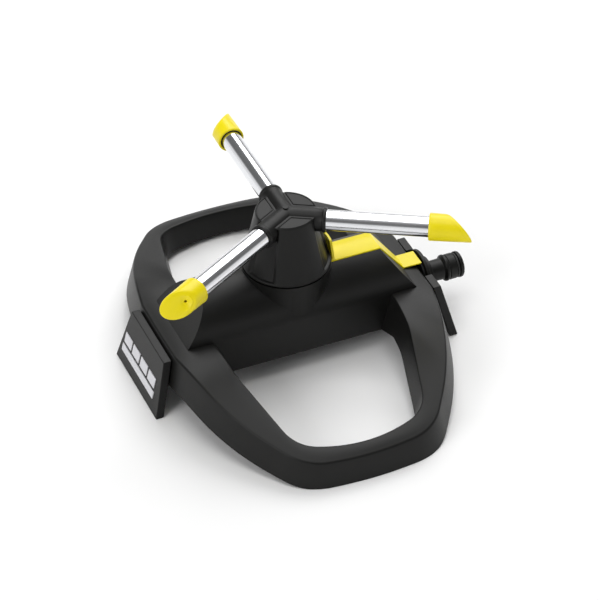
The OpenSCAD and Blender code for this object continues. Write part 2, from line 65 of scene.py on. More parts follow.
def size(node):
    """Side lengths of a frame node's box, in millimetres."""
    low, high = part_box(node)
    return (high - low) / MM


ROTOR_X = middle("thrust_washer").x
ARMS = {"a": -30.0, "b": 90.0, "c": 210.0}


def linear(code):
    """Linear red, green, blue and alpha of an sRGB hex colour."""
    parts = [int(code[i:i + 2], 16) / 255 for i in (1, 3, 5)]
    return [c / 12.92 if c <= 0.04045 else ((c + 0.055) / 1.055) ** 2.4 for c in parts] + [1.0]


def length(name, text, value):
    """A length property given in millimetres."""
    return FloatProperty(name=name, description=text, default=value * MM, unit="LENGTH")


def colour(name, text, code):
    """A colour property given as an sRGB hex code."""
    return FloatVectorProperty(name=name, description=text, default=linear(code), size=4,
                               subtype="COLOR", min=0.0, max=1.0)


# ---------------------------------------------------------------- properties


class BaseSizes(bpy.types.PropertyGroup):
    half_x: length("Half length", "Half length of the base at floor level", 95.6)
    half_y: length("Half width", "Half width of the base at floor level", 136.0)
    deck_z: length("Deck height", "Height of the middle deck", 40.5)
    skirt_z: length("Skirt height", "Height of the deck walls' lower edge", 20.0)
    wall: length("Wall", "Wall thickness of the base", 2.8)
    edge: length("Edge radius", "Rounding along the top edges of the ring", 1.3)
    draft: FloatProperty(name="Draft", description="Outward lean of the walls", default=0.25)
    fall: FloatProperty(name="Fall", description="Slope of the ring's arched top", default=0.288)


class HousingSizes(bpy.types.PropertyGroup):
    roof_r: length("Roof radius", "Radius of the half-round roof", 26.2)
    roof_z: length("Roof centre", "Height of the roof's centre line", 38.5)
    roof_end: length("Roof end", "Distance from the rotor to the foot of an end face", 76.2)
    seat_r: length("Seat radius", "Radius of the seat under the rotor", 27.7)
    seat_z: length("Seat height", "Height of the seat under the rotor", 66.0)
    slope: FloatProperty(name="End slope", description="Inward lean of the end faces", default=0.757)


class RotorSizes(bpy.types.PropertyGroup):
    arm_z: length("Arm height", "Height of the spray tube axes", 99.8)
    hub_top_r: length("Hub top radius", "Radius of the hub at its top edge", 18.8)
    hub_low_r: length("Hub low radius", "Radius of the hub at its lower edge", 27.4)
    sleeve_r: length("Sleeve radius", "Outer radius of a sleeve", 7.3)
    sleeve_end: length("Sleeve end", "Distance from the rotor axis to a sleeve's end", 24.9)
    tube_r: length("Tube radius", "Outer radius of a spray tube", 6.4)
    cap_start: length("Cap rim", "Distance from the rotor axis to a nozzle cap's rim", 87.0)
    cap_r: length("Cap radius", "Radius of a nozzle cap at its rim", 8.5)


class Finish(bpy.types.PropertyGroup):
    black: colour("Black plastic", "Moulded black polypropylene", "#121211")
    yellow: colour("Yellow plastic", "Moulded yellow ABS", "#EAD80A")
    metal: colour("Tube metal", "Polished aluminium of the spray tubes", "#E4E5E8")
    ink: colour("Mark ink", "White print on the left end plate", "#D0D0D4")
    floor: colour("Floor", "Pale studio floor", "#F4F4F4")


# ---------------------------------------------------------------- mesh tools


def mm(value):
    """A length property in millimetres."""
    return value / MM


def settings():
    """The four property groups: base, housing, rotor and finish."""
    scene = bpy.context.scene
    return (scene.sprinkler_base, scene.sprinkler_housing, scene.sprinkler_rotor,
            scene.sprinkler_finish)


def build(name, shells, bevel=0.0, steps=2, sharp=35.0):
    """A mesh object from shells of (points in mm from the rotor axis, faces), with rounded edges."""
    work = bmesh.new()
    for points, faces in shells:
        made = [work.verts.new(((p[0] + ROTOR_X) * MM, p[1] * MM, p[2] * MM)) for p in points]
        for face in faces:
            ring = [made[i] for i in face]
            ring = [v for i, v in enumerate(ring) if v not in ring[:i]]
            if len(ring) > 2:
                work.faces.new(ring)
    bmesh.ops.remove_doubles(work, verts=work.verts, dist=0.5e-5)
    bmesh.ops.dissolve_degenerate(work, edges=work.edges, dist=0.4e-5)
    bmesh.ops.recalc_face_normals(work, faces=work.faces)
    mesh = bpy.data.meshes.new(name)
    work.to_mesh(mesh)
    work.free()
    mesh.shade_smooth()
    mesh.set_sharp_from_angle(angle=math.radians(sharp))
    piece = bpy.data.objects.new(name, mesh)
    bpy.context.scene.collection.objects.link(piece)
    if bevel:
        mesh.shade_smooth()
        tool = piece.modifiers.new("Rounded edges", "BEVEL")
        tool.width = bevel * MM
        tool.segments = steps
        tool.limit_method = "ANGLE"
        tool.angle_limit = math.radians(sharp)
        tool.harden_normals = True
        tool.use_clamp_overlap = True
    return piece


def settle(piece, body, node, material):
    """Gives a piece its body, the frame nodes it stands for and its material."""
    piece.data.materials.clear()
    piece.data.materials.append(material)
    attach(piece, body)
    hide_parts(*([node] if isinstance(node, str) else node))
    return piece


def patch(rows, around=True, along=False):
    """One shell of quads over equally long rows of points, closed around and along as asked."""
    count = len(rows[0])
    points = [p for row in rows for p in row]
    faces = []
    for i in range(len(rows) if along else len(rows) - 1):
        a, b = i * count, (i + 1) % len(rows) * count
        for j in range(count if around else count - 1):
            k = (j + 1) % count
            faces.append((a + j, a + k, b + k, b + j))
    return points, faces


def lathe(profile, turns=96, closed=True):
    """A shell made by turning (radius, height) points about Z."""
    rows = []
    for r, z in profile:
        rows.append([(r * math.cos(math.tau * i / turns), r * math.sin(math.tau * i / turns), z)
                     for i in range(turns)])
    return patch(rows, along=closed)


def moved(shell, matrix):
    """A shell with every point carried by a matrix."""
    return [tuple(matrix @ Vector(p)) for p in shell[0]], shell[1]


def facing(axis_z, angle=0.0, start=0.0):
    """Matrix from Z-up turned shapes to shapes along a level axis at that height and angle."""
    return (Matrix.Rotation(math.radians(angle), 4, "Z") @ Matrix.Translation((start, 0, axis_z))
            @ Matrix.Rotation(math.radians(90), 4, "Y"))


def cornered(points, radii, steps=20):
    """A closed outline with each corner replaced by an arc."""
    outline = []
    count = len(points)
    for i, r in enumerate(radii):
        p = Vector(points[i])
        u = (Vector(points[i - 1]) - p).normalized()
        v = (Vector(points[(i + 1) % count]) - p).normalized()
        half = u.angle(v) / 2
        centre = p + (u + v).normalized() * r / math.sin(half)
        a, b = p + u * r / math.tan(half) - centre, p + v * r / math.tan(half) - centre
        start = math.atan2(a.y, a.x)
        span = (math.atan2(b.y, b.x) - start + math.pi) % math.tau - math.pi
        for k in range(steps + 1):
            t = start + span * k / steps
            outline.append(Vector((centre.x + r * math.cos(t), centre.y + r * math.sin(t))))
    return outline


def sampled(outline, angles):
    """Points and inward normals of a closed outline where rays at these angles cross it."""
    hits = []
    for angle in angles:
        d = Vector((math.cos(angle), math.sin(angle)))
        best = None
        for i, a in enumerate(outline):
            e = a - outline[i - 1]
            cross = d.x * e.y - d.y * e.x
            if abs(cross) < 1e-9:
                continue
            t = (outline[i - 1].x * e.y - outline[i - 1].y * e.x) / cross
            s = (outline[i - 1].x * d.y - outline[i - 1].y * d.x) / cross
            if t > 0 and -1e-6 <= s <= 1 + 1e-6 and (best is None or t > best):
                best = t
        hits.append(d * best)
    normals = []
    for i in range(len(hits)):
        e = hits[(i + 1) % len(hits)] - hits[i - 1]
        normals.append(Vector((-e.y, e.x)).normalized())
    return list(zip(hits, normals))


# ---------------------------------------------------------------- materials


def add(tree, kind, values=None, links=None, **options):
    """Adds a node with its options, its socket values and its incoming links."""
    node = tree.nodes.new(kind)
    for name, value in options.items():
        setattr(node, name, value)
    for name, value in (values or {}).items():
        node.inputs[name].default_value = value
    for name, source in (links or {}).items():
        tree.links.new(source, node.inputs[name])
    return node


def material(name):
    """A new node material: its tree and its shader."""
    made = bpy.data.materials.new(name)
    made.use_nodes = True
    made.node_tree.nodes.clear()
    tree = made.node_tree
    shader = add(tree, "ShaderNodeBsdfPrincipled")
    add(tree, "ShaderNodeOutputMaterial", links={"Surface": shader.outputs["BSDF"]})
    return made, tree, shader


def per_metre(millimetres):
    """Noise scale whose features are about this many millimetres across."""
    return 1.0 / (millimetres * MM)


def ramp(tree, source, low, high, start=0.3, end=0.7):
    """A range of values that follows a texture between two levels."""
    node = add(tree, "ShaderNodeMapRange", {"From Min": start, "From Max": end,
                                            "To Min": low, "To Max": high}, {"Value": source})
    return node.outputs["Result"]


def tinted(tree, factor, first, second):
    """A mix of two colours by a factor."""
    node = add(tree, "ShaderNodeMix", data_type="RGBA")
    node.inputs["A"].default_value = first
    node.inputs["B"].default_value = second
    tree.links.new(factor, node.inputs["Factor"])
    return node.outputs["Result"]


def shade(rgba, factor):
    """A colour made lighter or darker."""
    return [min(1.0, c * factor) for c in rgba[:3]] + [1.0]


def moulded_black(finish):
    """Polypropylene, moulded in a spark-eroded tool: satin, with a fine even grain."""
    made, tree, shader = material("Polypropylene, black, spark-eroded grain")
    place = add(tree, "ShaderNodeTexCoord").outputs["Object"]
    # The real grain is 0.1 mm across; it is drawn at 0.6 mm so that it shows.
    grain = add(tree, "ShaderNodeTexNoise", {"Scale": per_metre(0.6), "Detail": 3.0}, {"Vector": place})
    cloud = add(tree, "ShaderNodeTexNoise", {"Scale": per_metre(18.0), "Detail": 2.0}, {"Vector": place})
    base = list(finish.black)
    tree.links.new(tinted(tree, ramp(tree, cloud.outputs["Fac"], 0.0, 1.0), shade(base, 0.93),
                          shade(base, 1.08)), shader.inputs["Base Color"])
    tree.links.new(ramp(tree, grain.outputs["Fac"], 0.36, 0.46), shader.inputs["Roughness"])
    bump = add(tree, "ShaderNodeBump", {"Strength": 0.16, "Distance": 0.06 * MM},
               {"Height": grain.outputs["Fac"]})
    tree.links.new(bump.outputs["Normal"], shader.inputs["Normal"])
    shader.inputs["IOR"].default_value = 1.49
    # The grain breaks up about half of the surface's gloss.
    shader.inputs["Specular IOR Level"].default_value = 0.24
    return made


def eroded_black(finish):
    """Polypropylene, moulded in a coarsely eroded tool: matt, with a sparkling open grain."""
    made, tree, shader = material("Polypropylene, black, coarse eroded grain")
    place = add(tree, "ShaderNodeTexCoord").outputs["Object"]
    # The real grain is 0.3 mm across; it is drawn at 1 mm so that it shows.
    grain = add(tree, "ShaderNodeTexNoise", {"Scale": per_metre(1.0), "Detail": 3.0}, {"Vector": place})
    base = list(finish.black)
    tree.links.new(tinted(tree, ramp(tree, grain.outputs["Fac"], 0.0, 1.0), shade(base, 0.7),
                          shade(base, 2.6)), shader.inputs["Base Color"])
    tree.links.new(ramp(tree, grain.outputs["Fac"], 0.5, 0.62), shader.inputs["Roughness"])
    bump = add(tree, "ShaderNodeBump", {"Strength": 0.35, "Distance": 0.15 * MM},
               {"Height": grain.outputs["Fac"]})
    tree.links.new(bump.outputs["Normal"], shader.inputs["Normal"])
    shader.inputs["IOR"].default_value = 1.49
    shader.inputs["Specular IOR Level"].default_value = 0.4
    return made


def moulded_yellow(finish):
    """ABS, moulded in a polished tool: clean semi-gloss with faint flow variation."""
    made, tree, shader = material("ABS, yellow, moulded semi-gloss")
    place = add(tree, "ShaderNodeTexCoord").outputs["Object"]
    flow = add(tree, "ShaderNodeTexNoise", {"Scale": per_metre(9.0), "Detail": 2.0}, {"Vector": place})
    grain = add(tree, "ShaderNodeTexNoise", {"Scale": per_metre(0.8), "Detail": 2.0}, {"Vector": place})
    base = list(finish.yellow)
    tree.links.new(tinted(tree, ramp(tree, flow.outputs["Fac"], 0.0, 1.0), shade(base, 0.96), base),
                   shader.inputs["Base Color"])
    tree.links.new(ramp(tree, grain.outputs["Fac"], 0.28, 0.36), shader.inputs["Roughness"])
    bump = add(tree, "ShaderNodeBump", {"Strength": 0.08, "Distance": 0.04 * MM},
               {"Height": grain.outputs["Fac"]})
    tree.links.new(bump.outputs["Normal"], shader.inputs["Normal"])
    shader.inputs["IOR"].default_value = 1.53
    shader.inputs["Specular IOR Level"].default_value = 0.3
    return made


def drawn_aluminium(finish, angle):
    """Aluminium, drawn and polished: mirror-like, with faint lines along the tube."""
    made, tree, shader = material(f"Aluminium, drawn and polished {angle:.0f}")
    place = add(tree, "ShaderNodeTexCoord").outputs["Object"]
    turn = add(tree, "ShaderNodeMapping", {"Rotation": (0, 0, -math.radians(angle))}, {"Vector": place},
               vector_type="TEXTURE")
    turn.inputs["Rotation"].default_value = (0, 0, math.radians(angle))
    # Draw lines 0.5 mm apart and 40 mm long.
    stretch = add(tree, "ShaderNodeMapping", {"Scale": (1 / 40, 2.0, 2.0)},
                  {"Vector": turn.outputs["Vector"]})
    lines = add(tree, "ShaderNodeTexNoise", {"Scale": per_metre(1.0), "Detail": 2.0},
                {"Vector": stretch.outputs["Vector"]})
    tree.links.new(ramp(tree, lines.outputs["Fac"], 0.10, 0.20), shader.inputs["Roughness"])
    bump = add(tree, "ShaderNodeBump", {"Strength": 0.05, "Distance": 0.02 * MM},
               {"Height": lines.outputs["Fac"]})
    tree.links.new(bump.outputs["Normal"], shader.inputs["Normal"])
    shader.inputs["Base Color"].default_value = finish.metal
    shader.inputs["Metallic"].default_value = 1.0
    return made


def plain(name, code, roughness, grain_mm, metallic=0.0, ior=1.5):
    """A small part's finish: one colour with a fine grain in its roughness and relief."""
    made, tree, shader = material(name)
    place = add(tree, "ShaderNodeTexCoord").outputs["Object"]
    grain = add(tree, "ShaderNodeTexNoise", {"Scale": per_metre(grain_mm), "Detail": 3.0},
                {"Vector": place})
    base = linear(code)
    tree.links.new(tinted(tree, grain.outputs["Fac"], shade(base, 0.92), shade(base, 1.05)),
                   shader.inputs["Base Color"])
    tree.links.new(ramp(tree, grain.outputs["Fac"], roughness - 0.04, roughness + 0.04),
                   shader.inputs["Roughness"])
    bump = add(tree, "ShaderNodeBump", {"Strength": 0.1, "Distance": 0.04 * MM},
               {"Height": grain.outputs["Fac"]})
    tree.links.new(bump.outputs["Normal"], shader.inputs["Normal"])
    shader.inputs["Metallic"].default_value = metallic
    if not metallic:
        shader.inputs["IOR"].default_value = ior
    return made


MATERIALS = {}


def finish_of(name):
    """A finished material by its short name, made once."""
    if name not in MATERIALS:
        finish = settings()[3]
        if name == "black":
            MATERIALS[name] = moulded_black(finish)
        elif name == "coarse":
            MATERIALS[name] = eroded_black(finish)
        elif name == "yellow":
            MATERIALS[name] = moulded_yellow(finish)
        elif name.startswith("tube"):
            MATERIALS[name] = drawn_aluminium(finish, ARMS[name[-1]])
        elif name == "ink":
            MATERIALS[name] = plain("Pad-printed ink, white", "#D0D0D4", 0.5, 0.5)
        elif name == "steel":
            MATERIALS[name] = plain("Stainless steel, turned", "#B9B7B2", 0.28, 0.3, metallic=1.0)
        elif name == "rubber":
            MATERIALS[name] = plain("Nitrile rubber, moulded matt", "#141414", 0.6, 0.4, ior=1.52)
        elif name == "acetal":
            MATERIALS[name] = plain("Acetal, natural, turned", "#DAD8CE", 0.4, 0.5, ior=1.48)
        else:
            raise ValueError(f"there is no finish called {name}")
    return MATERIALS[name]


# ---------------------------------------------------------------- shapes


def soft_step(y, bend=47.0, radius=14.0):
    """Distance outward past the deck, eased in over the bend."""
    y = abs(y)
    if abs(y - bend) < radius:
        return (y - bend + radius) ** 2 / (4 * radius)
    return max(0.0, y - bend)


def low_z(base, y):
    """Height of the ring's underside at a distance from the middle."""
    drop = mm(base.skirt_z) / (0.95 * mm(base.half_y) - 47.0)
    return max(0.0, mm(base.skirt_z) - drop * soft_step(y))


def top_z(base, y):
    """Height of the ring's top at a distance from the middle."""
    return mm(base.deck_z) - base.fall * soft_step(y)


def outer_outline(base):
    """Outer edge of the base at floor level."""
    hx, hy = mm(base.half_x), mm(base.half_y)
    quarter = [(hx, 28.5), (0.912 * hx, 0.567 * hy), (0.46 * hx, 0.968 * hy)]
    points = quarter + [(0, 1.002 * hy)] + [(-x, y) for x, y in reversed(quarter)]
    points += [(-x, -y) for x, y in quarter] + [(0, -1.002 * hy)]
    points += [(x, -y) for x, y in reversed(quarter)]
    radii = [26, 165, 40, 217, 40, 165, 26]
    return cornered(points, radii + radii)


def inner_outline(base):
    """Edge of the middle opening at floor level, without the housing across it."""
    a = 0.515 * mm(base.half_x)
    far, mid, corner = 0.893 * mm(base.half_y), 0.406 * mm(base.half_y), 0.764 * a
    quarter = [(a, 23.6), (0.97 * a, mid), (corner, far - 0.34 * corner)]
    points = quarter + [(0, far)] + [(-x, y) for x, y in reversed(quarter)]
    points += [(-x, -y) for x, y in quarter] + [(0, -far)]
    points += [(x, -y) for x, y in reversed(quarter)]
    radii = [60, 60, 16.4, 2.2 * corner, 16.4, 60, 60]
    return cornered(points, radii + radii)


def ring_section(base, outer, inner):
    """Closed section of the ring between a point of its outer edge and one of its inner edge."""
    (po, no), (pi, ni) = outer, inner
    ni = -ni
    wall, edge, draft = mm(base.wall), mm(base.edge), base.draft

    def at(side, z, deep=0.0):
        p, n = (po, no) if side else (pi, ni)
        q = p + n * (draft * z + deep)
        return q.x, q.y, z

    tops = []
    for side in (1, 0):
        z = mm(base.deck_z)
        for _ in range(3):
            z = top_z(base, at(side, z)[1])
        tops.append(z)
    drop_out = 0.5 + 1.3 * math.exp(-(po.y / 46.0) ** 2)
    z_out, z_in = tops[0] - drop_out, tops[1] - 0.25
    low_out = low_z(base, po.y)
    low_in = min(low_z(base, pi.y), 14.0 + 0.35 * max(0.0, abs(pi.y) - 26.0))
    lean = math.hypot(1, draft)
    section = [at(1, low_out, 0.0)]
    for k in (0.25, 0.5, 0.75):
        section.append(at(1, low_out + (z_out - edge - low_out) * k))
    a, b = Vector(at(1, z_out)), Vector(at(0, z_in))
    across = (b - a).normalized()
    down_out = (Vector(at(1, z_out - 1)) - a) / lean
    down_in = (Vector(at(0, z_in - 1)) - b) / lean
    for k in range(7):
        t = k / 6
        section.append(tuple(a + down_out * edge * (1 - t) ** 2 + across * edge * 1.2 * t * t))
    flat_a, flat_b = a + across * edge * 1.2, b - across * edge
    for k in range(1, 12):
        t = k / 12
        crown = 4 * t * (1 - t) * 0.35
        lift = (drop_out - 0.5) * min(1.0, t * 2.2) * (1 - t) * 0.9
        p = flat_a.lerp(flat_b, t)
        section.append((p.x, p.y, p.z + crown + lift))
    for k in range(7):
        t = k / 6
        section.append(tuple(b - across * edge * (1 - t) ** 2 + down_in * edge * t * t))
    for k in (0.75, 0.5, 0.25):
        section.append(at(0, low_in + (z_in - edge - low_in) * k))
    section.append(at(0, low_in))
    section.append(at(0, low_in, wall))
    section.append(at(0, z_in - wall, wall))
    section.append(at(1, z_out - wall, wall))
    section.append(at(1, low_out, wall))
    return section


def plate_outline(right):
    """Outline of an end plate as (across, height), with a round notch in the right one."""
    low = size("end_plate_left").y / 2
    points = [(-low, 0.0), (low, 0.0), (27.2, 36.4)]
    if right:
        radius, centre = 17.0, 26.4
        top = math.asin((36.4 - centre) / radius)
        for k in range(33):
            t = top - (math.pi + 2 * top) * k / 32
            points.append((radius * math.cos(t), centre + radius * math.sin(t)))
    points.append((-27.2, 36.4))
    return points


def slab(base, side, outline, start, thick):
    """A slab parallel to the leaning end wall, from start to start + thick outside it."""
    def at(p, d):
        return side * (mm(base.half_x) - base.draft * p[1] + d), p[0], p[1]

    count = len(outline)
    points = [at(p, start) for p in outline] + [at(p, start + thick) for p in outline]
    faces = [tuple(range(count)), tuple(range(count, 2 * count))]
    faces += [(i, (i + 1) % count, (i + 1) % count + count, i + count) for i in range(count)]
    return points, faces


def box_shell(low, high):
    """An axis-aligned box as a shell."""
    points = [(x, y, z) for x in (low[0], high[0]) for y in (low[1], high[1]) for z in (low[2], high[2])]
    faces = [(0, 1, 3, 2), (4, 6, 7, 5), (0, 4, 5, 1), (2, 3, 7, 6), (0, 2, 6, 4), (1, 5, 7, 3)]
    return points, faces


def joined(piece, other, operation):
    """Cuts or unites another mesh with a piece, for good."""
    tool = piece.modifiers.new("Join", "BOOLEAN")
    tool.operation = operation
    tool.solver = "EXACT"
    tool.object = other
    mesh = bpy.data.meshes.new_from_object(
        piece.evaluated_get(bpy.context.evaluated_depsgraph_get()))
    piece.modifiers.remove(tool)
    piece.data = mesh
    bpy.data.objects.remove(other)
    return piece


def cap_shell(rotor, cut=45.0, roll=57.0, mid=19.0, turns=72):
    """Nozzle cap along +X from its rim, with a rounded slanted face and a jet hole."""
    rim, bore, recess = mm(rotor.cap_r), mm(rotor.tube_r) + 0.05, mm(rotor.tube_r) + 0.75
    slope = math.tan(math.radians(cut))
    spin = Matrix.Rotation(-math.radians(roll), 3, "X")
    jet = Vector((mid - 4.0 * slope, 0.0, 4.0))
    normal = Vector((math.cos(math.radians(cut)), 0, math.sin(math.radians(cut))))
    tangent = Vector((0, 1, 0))
    other = normal.cross(tangent)
    columns = []
    for i in range(turns):
        t = math.tau * i / turns
        out = Vector((0, math.sin(t), math.cos(t)))

        def wall(x):
            return Vector((x, 0, 0)) + out * (rim - 0.5 * x / 31.0)

        x_end = mid
        for _ in range(6):
            x_end = mid - slope * wall(x_end).z
        edge, radius = wall(x_end), 1.5
        back = (wall(x_end - 1) - edge).normalized()
        inward = (jet - edge).normalized()
        column = [Vector((10.0, 0, 0)) + out * (bore - 2.0), Vector((10.0, 0, 0)) + out * bore,
                  Vector((1.4, 0, 0)) + out * bore, Vector((1.4, 0, 0)) + out * recess]
        for x, r in ((0.2, recess), (0.0, recess + 0.2), (0.0, rim - 0.8), (0.1, rim - 0.4),
                     (0.35, rim - 0.15), (0.8, rim)):
            column.append(Vector((x, 0, 0)) + out * r)
        for k in range(1, 9):
            column.append(wall(0.8 + (x_end - radius - 0.8) * k / 9))
        for k in range(6):
            s = k / 5
            column.append(edge + back * radius * (1 - s) ** 2 + inward * radius * s * s)
        face_start = column[-1]
        d = face_start - jet
        angle = math.atan2(d.dot(other), d.dot(tangent))
        ray = tangent * math.cos(angle) + other * math.sin(angle)
        reach = d.dot(ray)
        for k in range(1, 7):
            s = k / 7
            r = reach + (3.2 - reach) * s
            swell = 0.35 * math.sin(math.pi * s)
            column.append(jet + ray * r + normal * swell)
        for r, h in ((3.2, 0.0), (2.7, -0.1), (2.1, -0.35), (1.5, -0.5), (1.0, -0.55),
                     (0.85, -0.7), (0.8, -1.2), (0.8, -5.0)):
            column.append(jet + ray * r + normal * h)
        columns.append([tuple(spin @ p) for p in column])
    rows = [[column[k] for column in columns] for k in range(len(columns[0]))]
    points, faces = patch(rows)
    faces.append(tuple(range(turns)))
    faces.append(tuple(range(len(points) - turns, len(points))))
    return points, faces


# ---------------------------------------------------------------- operators


class BuildRing(bpy.types.Operator):
    """Build the arched ring of the base with its rounded edges"""

    bl_idname = "sprinkler.build_ring"
    bl_label = "Base Ring"

    def execute(self, context):
        base = settings()[0]
        count = 480
        angles = [math.tau * i / count for i in range(count)]
        outer = sampled(outer_outline(base), angles)
        inner = sampled(inner_outline(base), angles)
        rows = [ring_section(base, o, i) for o, i in zip(outer, inner)]
        shells = [patch(rows, along=True)]
        ring = build("base_ring", shells, sharp=40)
        settle(ring, "base", "base_frame", finish_of("black"))
        return {"FINISHED"}


class BuildHousing(bpy.types.Operator):
    """Build the half-round housing with slanted ends and the seat under the rotor"""

    bl_idname = "sprinkler.build_housing"
    bl_label = "Bar Housing"

    def execute(self, context):
        base, house = settings()[:2]
        radius, centre = mm(house.roof_r), mm(house.roof_z)
        deck, wall = mm(base.deck_z), 2.6

        def end(z):
            return mm(house.roof_end) - house.slope * (z - deck)

        steps = 48
        arc = []
        for k in range(steps + 1):
            t = math.pi * (k / steps - 0.5)
            arc.append((radius * math.sin(t), centre + radius * math.cos(t)))
        rows = []
        for y, z in arc:
            reach = end(z)
            rows.append([(reach * (2 * j / 24 - 1), y, z) for j in range(25)])
        points, faces = patch(rows, around=False)
        for side in (0, 24):
            for k in range(steps // 2):
                a, b = k * 25 + side, (k + 1) * 25 + side
                c, d = (steps - k - 1) * 25 + side, (steps - k) * 25 + side
                faces.append((a, b, c, d))
        faces += [(j, j + 1, steps * 25 + j + 1, steps * 25 + j) for j in range(24)]
        roof = build("bar_housing_shell", [(points, faces)])
        cone = build("seat", [lathe([(12.0, 39.0), (25.4, 39.0), (mm(house.seat_r), mm(house.seat_z)),
                                     (mm(house.seat_r) - 4.5, mm(house.seat_z)),
                                     (mm(house.seat_r) - 4.5, mm(house.seat_z) - 2.0),
                                     (12.0, mm(house.seat_z) - 2.0)], turns=144)])
        joined(roof, cone, "UNION")
        half = 0.515 * mm(base.half_x)
        low = 14.0
        for side in (-1, 1):
            y0, y1 = side * (radius - wall), side * radius
            corner = [(-half - base.draft * low - 1.5, low), (half + base.draft * low + 1.5, low),
                      (half + base.draft * deck + 1.0, deck - 1), (-half - base.draft * deck - 1.0, deck - 1)]
            points = [(x, y0, z) for x, z in corner] + [(x, y1, z) for x, z in corner]
            faces = [(0, 1, 2, 3), (4, 5, 6, 7), (0, 1, 5, 4), (1, 2, 6, 5), (2, 3, 7, 6), (3, 0, 4, 7)]
            flank = build("flank", [(points, faces)])
            joined(roof, flank, "UNION")
        roof.data.shade_smooth()
        tool = roof.modifiers.new("Rounded edges", "BEVEL")
        tool.width = 0.5 * MM
        tool.segments = 2
        tool.limit_method = "ANGLE"
        tool.angle_limit = math.radians(28)
        tool.harden_normals = True
        settle(roof, "base", "bar_housing", finish_of("black"))
        roof.data.materials.append(finish_of("coarse"))
        for face in roof.data.polygons:
            if abs(face.normal.x) > 0.5 and face.normal.z > 0.4 and face.center.z > deck * MM:
                face.material_index = 1
        return {"FINISHED"}


class BuildPlates(bpy.types.Operator):
    """Build both end plates, the left one with a stand-off layer behind it"""

    bl_idname = "sprinkler.build_plates"
    bl_label = "End Plates"

    def execute(self, context):
        base = settings()[0]
        for name, side in (("left", -1), ("right", 1)):
            outline = plate_outline(side > 0)
            back = [(y * 0.93, min(35.2, max(21.0, z))) for y, z in outline]
            shells = [slab(base, side, outline, 0.9, 5.2)]
            if side < 0:
                back = [(-25.6, 21.0), (25.6, 21.0), (25.6, 35.4), (-25.6, 35.4)]
                shells.append(slab(base, side, back, 0.0, 0.95))
            plate = build(f"end_plate_{name}_panel", shells, bevel=0.45, steps=3)
            settle(plate, "base", f"end_plate_{name}", finish_of("black"))
        return {"FINISHED"}


class BuildTrim(bpy.types.Operator):
    """Build the yellow band on the housing and the upright tongue behind the rotor"""

    bl_idname = "sprinkler.build_trim"
    bl_label = "Trim Band"

    def execute(self, context):
        base, house = settings()[:2]
        radius, centre, deck = mm(house.roof_r), mm(house.roof_z), mm(base.deck_z)
        wide, narrow, across = 8.7, 6.5, 8

        def surface(station, f, lift):
            y = wide * f
            z = centre + math.sqrt(radius ** 2 - y * y)
            corner = mm(house.roof_end) - house.slope * (z - deck)
            if station <= 1:
                return Vector((25.5 + (corner - 25.5 + lift * 0.5) * station, y, z + lift))
            if station <= 2:
                foot = Vector((mm(house.roof_end) + lift * 0.6, narrow * f, deck + lift * 0.9))
                top = Vector((corner + lift * 0.5, y, z + lift))
                return top.lerp(foot, station - 1)
            return Vector((mm(house.roof_end) + lift * 0.6 + 12.4 * (station - 2), narrow * f,
                           deck + lift * 0.9))

        stations = [0.0, 0.25, 0.5, 0.75, 1.0, 1.33, 1.66, 2.0, 2.5, 3.0]
        loops = []
        for s in stations:
            top = [surface(s, 2 * k / across - 1, 0.8) for k in range(across + 1)]
            low = [surface(s, 1 - 2 * k / across, -0.25) for k in range(across + 1)]
            loops.append([tuple(p) for p in top + low])
        points, faces = patch(loops)
        count = len(loops[0])
        faces += [tuple(range(count)), tuple(range(len(points) - count, len(points)))]
        tongue = []
        for k in range(5):
            z, half, face = 61.5 + 15.5 * k / 4, 8.7 - 3.5 * k / 4, 30.3 - 1.7 * k / 4
            loop = []
            for r, direction in ((face, 1), (face - 1.6, -1)):
                reach = math.asin(half / r)
                for j in range(9):
                    t = direction * reach * (2 * j / 8 - 1)
                    loop.append((r * math.cos(t), r * math.sin(t), z))
            tongue.append(loop)
        upright = patch(tongue)
        upright[1].extend([tuple(range(18)), tuple(range(72, 90))])
        band = build("trim_band", [(points, faces), upright], bevel=0.25, steps=2)
        settle(band, "base", "trim_strip", finish_of("yellow"))
        return {"FINISHED"}


class BuildInlet(bpy.types.Operator):
    """Build the stepped collar and the push-on hose connector"""

    bl_idname = "sprinkler.build_inlet"
    bl_label = "Hose Inlet"

    def execute(self, context):
        height = middle("hose_nipple").z
        tip = mm(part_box("hose_nipple")[1].x) - ROTOR_X
        wall = mm(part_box("inlet_gasket")[0].x) - ROTOR_X
        collar = [(6.4, 1.0), (16.4, 1.0), (16.4, 3.2), (13.4, 3.2), (13.4, 4.2), (10.8, 4.2),
                  (10.8, 7.2), (6.4, 7.2)]
        shell = moved(lathe([(r, wall + z) for r, z in collar], turns=120), facing(height))
        flange = build("inlet_flange", [shell], bevel=0.35, steps=3)
        settle(flange, "base", "inlet_collar", finish_of("black"))
        nipple = [(5.0, -42), (5.4, -42), (5.4, -27), (6.6, -25), (6.9, -14.2), (6.9, -13.3), (8.1, -12.4),
                  (8.55, -11.8), (8.6, -10.8), (8.3, -10.2), (7.8, -10.1), (7.8, -9.6), (8.2, -9.4),
                  (8.25, -6.6), (8.25, -4.8), (6.2, -4.8), (6.2, -2.6), (8.45, -2.6), (8.5, -1.4),
                  (8.2, -0.5), (7.5, 0.0), (5.0, 0.0)]
        shell = moved(lathe([(r, tip + z) for r, z in nipple], turns=120), facing(height))
        connector = build("hose_connector", [shell], bevel=0.22, steps=2, sharp=25)
        settle(connector, "base", "hose_nipple", finish_of("black"))
        return {"FINISHED"}


